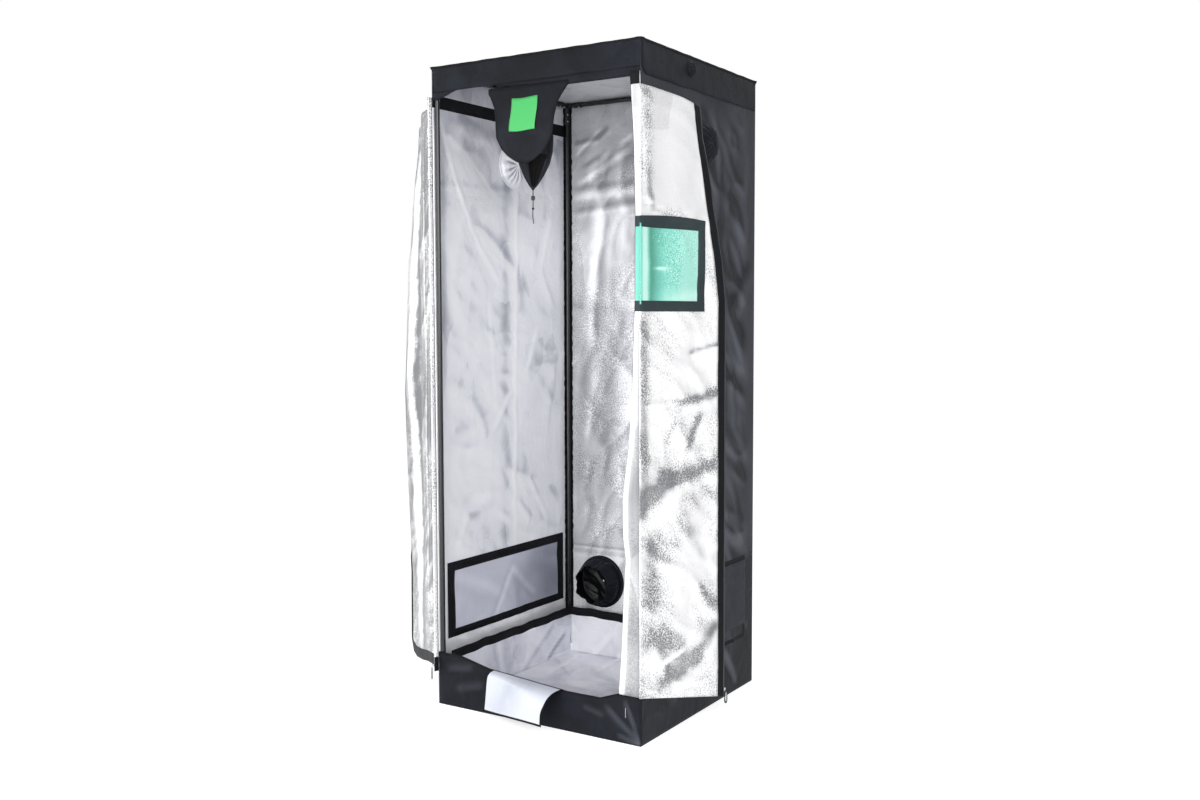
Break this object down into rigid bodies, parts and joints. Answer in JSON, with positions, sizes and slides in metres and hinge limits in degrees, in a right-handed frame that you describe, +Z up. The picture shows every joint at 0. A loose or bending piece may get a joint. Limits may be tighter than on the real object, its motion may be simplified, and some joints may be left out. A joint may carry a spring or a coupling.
{
  "type": "indoor grow tent",
  "caption": "Tall square indoor grow tent: steel pole frame in a silver-lined black cloth cover with two zipped front doors, a green window, duct ports, vents and floor tray.",
  "frame": {"origin": "centre of the base on the floor", "axes": "+Z up, +X to the viewer's right when facing the doors, the front with its doors faces -Y"},
  "size_m": [1.1546, 0.8484, 2],
  "materials": {
    "pole": "satin black enamel on steel tube",
    "connector": "satin black enamel on steel",
    "outer_cloth": "black coated oxford weave, soft sheen",
    "wall_lining": "silver mylar laminate, creased, fine sparkle",
    "door_lining": "silver mylar laminate, creased, fine sparkle",
    "tray_lining": "silver mylar laminate",
    "flap_lining": "pale lining, smooth",
    "zip_tape": "black woven tape",
    "port_cloth": "black gathered cloth",
    "drawcord": "black braided cord",
    "vent_mesh": "black fine mesh",
    "window_film": "green transparent film, slightly creased",
    "zip_metal": "nickel-plated die casting",
    "toggle_plastic": "moulded black plastic"
  },
  "bodies": {
    "tent": {"front_left_lower_post": "pole", "front_left_upper_post": "pole", "front_left_base_connector": "connector", "front_left_top_connector": "connector", "front_right_lower_post": "pole", "front_right_upper_post": "pole", "front_right_base_connector": "connector", "front_right_top_connector": "connector", "back_left_lower_post": "pole", "back_left_upper_post": "pole", "back_left_base_connector": "connector", "back_left_top_connector": "connector", "back_right_lower_post": "pole", "back_right_upper_post": "pole", "back_right_base_connector": "connector", "back_right_top_connector": "connector", "front_base_rail": "pole", "back_base_rail": "pole", "left_base_rail": "pole", "right_base_rail": "pole", "front_top_rail": "pole", "back_top_rail": "pole", "left_top_rail": "pole", "right_top_rail": "pole", "roof_panel": "outer_cloth", "base_panel": "outer_cloth", "header_band": "outer_cloth", "opening_strip": "outer_cloth", "sill_panel": "outer_cloth", "door_tongue": "outer_cloth", "left_hinge_margin": "outer_cloth", "left_wall": "wall_lining", "right_wall": "wall_lining", "back_wall": "wall_lining", "right_hinge_margin": "door_lining", "front_sock": "port_cloth", "left_duct_port": "port_cloth", "right_duct_port": "port_cloth", "back_duct_port": "port_cloth", "cable_port": "port_cloth", "sock_drawcord": "drawcord", "left_vent_mesh": "vent_mesh", "right_vent_mesh": "vent_mesh"},
    "left_door": {"left_door": "door_lining", "left_door_hem": "outer_cloth", "left_door_zip_tape": "zip_tape"},
    "right_door": {"right_door": "door_lining", "right_door_skirt": "door_lining", "right_door_zip_tape": "zip_tape", "door_window_film": "window_film", "door_window_frame": "zip_tape"},
    "left_zip": {"left_zip_slider": "zip_metal"},
    "right_zip": {"right_zip_slider": "zip_metal"},
    "sill_flap": {"sill_flap": "flap_lining"},
    "left_vent_cover": {"left_vent_cover": "wall_lining"},
    "right_vent_cover": {"right_vent_cover": "wall_lining"},
    "tray": {"floor_tray": "tray_lining"},
    "toggle": {"drawcord_toggle": "toggle_plastic"},
    "front_bar": {"front_hanging_bar": "pole"},
    "rear_bar": {"rear_hanging_bar": "pole"}
  },
  "joints": [
    {"name": "left_door_swing", "type": "hinge", "parent": "tent", "child": "left_door", "pos_m": [-0.379, -0.39, 1], "axis": [0, 0, -1], "range_deg": [-218, 22], "deforming": ["left_door_hem"]},
    {"name": "right_door_swing", "type": "hinge", "parent": "tent", "child": "right_door", "pos_m": [0.379, -0.39, 1], "axis": [0, 0, 1], "range_deg": [-256, 0], "deforming": ["right_door_skirt"]},
    {"name": "left_zip_slide", "type": "slide", "parent": "left_door", "child": "left_zip", "axis": [-0.788, 0.6157, 0], "range_m": [0, 0.33]},
    {"name": "right_zip_slide", "type": "slide", "parent": "right_door", "child": "right_zip", "axis": [0, 0, 1], "range_m": [0, 1.1]},
    {"name": "sill_flap_fold", "type": "hinge", "parent": "tent", "child": "sill_flap", "pos_m": [0.106, -0.3738, 0.1235], "axis": [-0.9971, 0, 0.0764], "range_deg": [0, 115]},
    {"name": "left_vent_cover_lift", "type": "hinge", "parent": "tent", "child": "left_vent_cover", "pos_m": [-0.3714, 0, 0.444], "axis": [0, -1, 0], "range_deg": [0, 150]},
    {"name": "right_vent_cover_lift", "type": "hinge", "parent": "tent", "child": "right_vent_cover", "pos_m": [0.3714, 0, 0.444], "axis": [0, 1, 0], "range_deg": [0, 150]},
    {"name": "tray_lift", "type": "slide", "parent": "tent", "child": "tray", "axis": [0, 0, 1], "range_m": [0, 0.15], "deforming": ["back_duct_port"]},
    {"name": "toggle_slide", "type": "slide", "parent": "tent", "child": "toggle", "axis": [0, 0, 1], "range_m": [-0.018, 0.012]},
    {"name": "front_bar_slide", "type": "slide", "parent": "tent", "child": "front_bar", "axis": [0, 1, 0], "range_m": [-0.06, 0.05]},
    {"name": "rear_bar_slide", "type": "slide", "parent": "tent", "child": "rear_bar", "axis": [0, 1, 0], "range_m": [-0.06, 0.35]}
  ]
}
